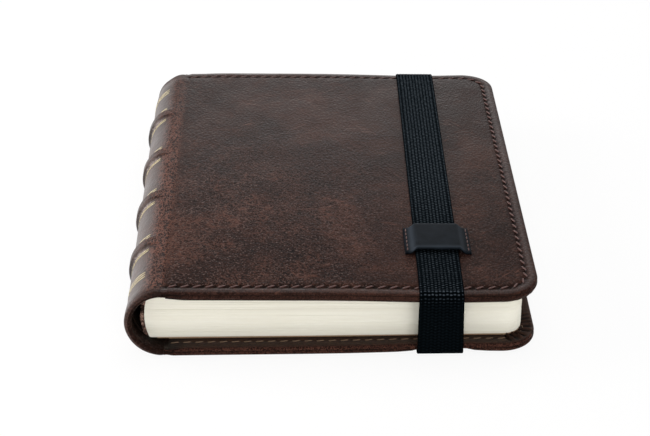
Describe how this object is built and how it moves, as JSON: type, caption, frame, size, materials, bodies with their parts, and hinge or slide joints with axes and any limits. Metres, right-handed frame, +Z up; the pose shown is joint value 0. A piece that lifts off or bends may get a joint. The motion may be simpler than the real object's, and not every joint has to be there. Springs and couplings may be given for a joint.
{
  "type": "leather notebook",
  "caption": "Hard-cover notebook in stitched brown leather with a rounded spine, raised bands, gold rules, sewn paper sections and a wide elastic closing band held by a leather keeper.",
  "frame": {"origin": "middle of the closed book's outline, on the surface that the back cover lies on", "axes": "+X from the spine to the fore edge, +Y from tail to head, +Z up through the front cover"},
  "size_m": [0.1446, 0.1792, 0.0294],
  "materials": {
    "brown_leather": "waxed, with a soft sheen and worn reddish patches",
    "black_leather": "smooth, satin",
    "lining": "matt split leather",
    "board": "grey pulp board, matt",
    "thread": "waxed twisted thread",
    "fold_thread": "plain linen thread",
    "gold": "gold foil, hot pressed, a little rubbed",
    "elastic": "woven ribbed elastic, matt",
    "paper": "uncoated cream paper",
    "endpaper": "tan endpaper, matt",
    "back_cloth": "fibrous brown cloth"
  },
  "bodies": {
    "back_case": {"back_leather": "brown_leather", "back_board": "board", "back_lining": "lining", "back_stitches": "thread", "rear_pastedown": "endpaper", "rear_flyleaf": "endpaper", "section_01": "paper", "section_02": "paper", "section_03": "paper", "section_04": "paper", "section_05": "paper", "section_06": "paper", "section_07": "paper", "sewing_threads": "fold_thread", "back_cloth": "back_cloth"},
    "spine": {"spine_leather": "brown_leather", "spine_liner": "board", "raised_band_1": "lining", "raised_band_2": "lining", "raised_band_3": "lining", "raised_band_4": "lining", "gold_rules": "gold"},
    "front_case": {"front_leather": "brown_leather", "front_board": "board", "front_lining": "lining", "front_stitches": "thread", "front_pastedown": "endpaper", "band_keeper": "black_leather", "keeper_stitches": "thread", "elastic_band": "elastic"},
    "turned_pages": {"section_08": "paper", "section_09": "paper", "section_10": "paper", "turned_threads": "fold_thread", "front_flyleaf": "endpaper"}
  },
  "joints": [
    {"name": "spine_hinge", "type": "hinge", "parent": "back_case", "child": "spine", "pos_m": [-0.05795, 0, 0], "axis": [0, -1, 0], "range_deg": [0, 89]},
    {"name": "front_cover_hinge", "type": "hinge", "parent": "spine", "child": "front_case", "pos_m": [-0.05795, 0, 0.0263], "axis": [0, -1, 0], "range_deg": [0, 89], "deforming": ["elastic_band"]},
    {"name": "page_turn", "type": "hinge", "parent": "back_case", "child": "turned_pages", "pos_m": [-0.06445, 0, 0.0153], "axis": [0, -1, 0], "range_deg": [0, 178]}
  ],
  "couplings": [
    {"joint": "spine_hinge", "follows": "front_cover_hinge", "ratio": 1},
    {"joint": "page_turn", "follows": "front_cover_hinge", "ratio": 2}
  ]
}
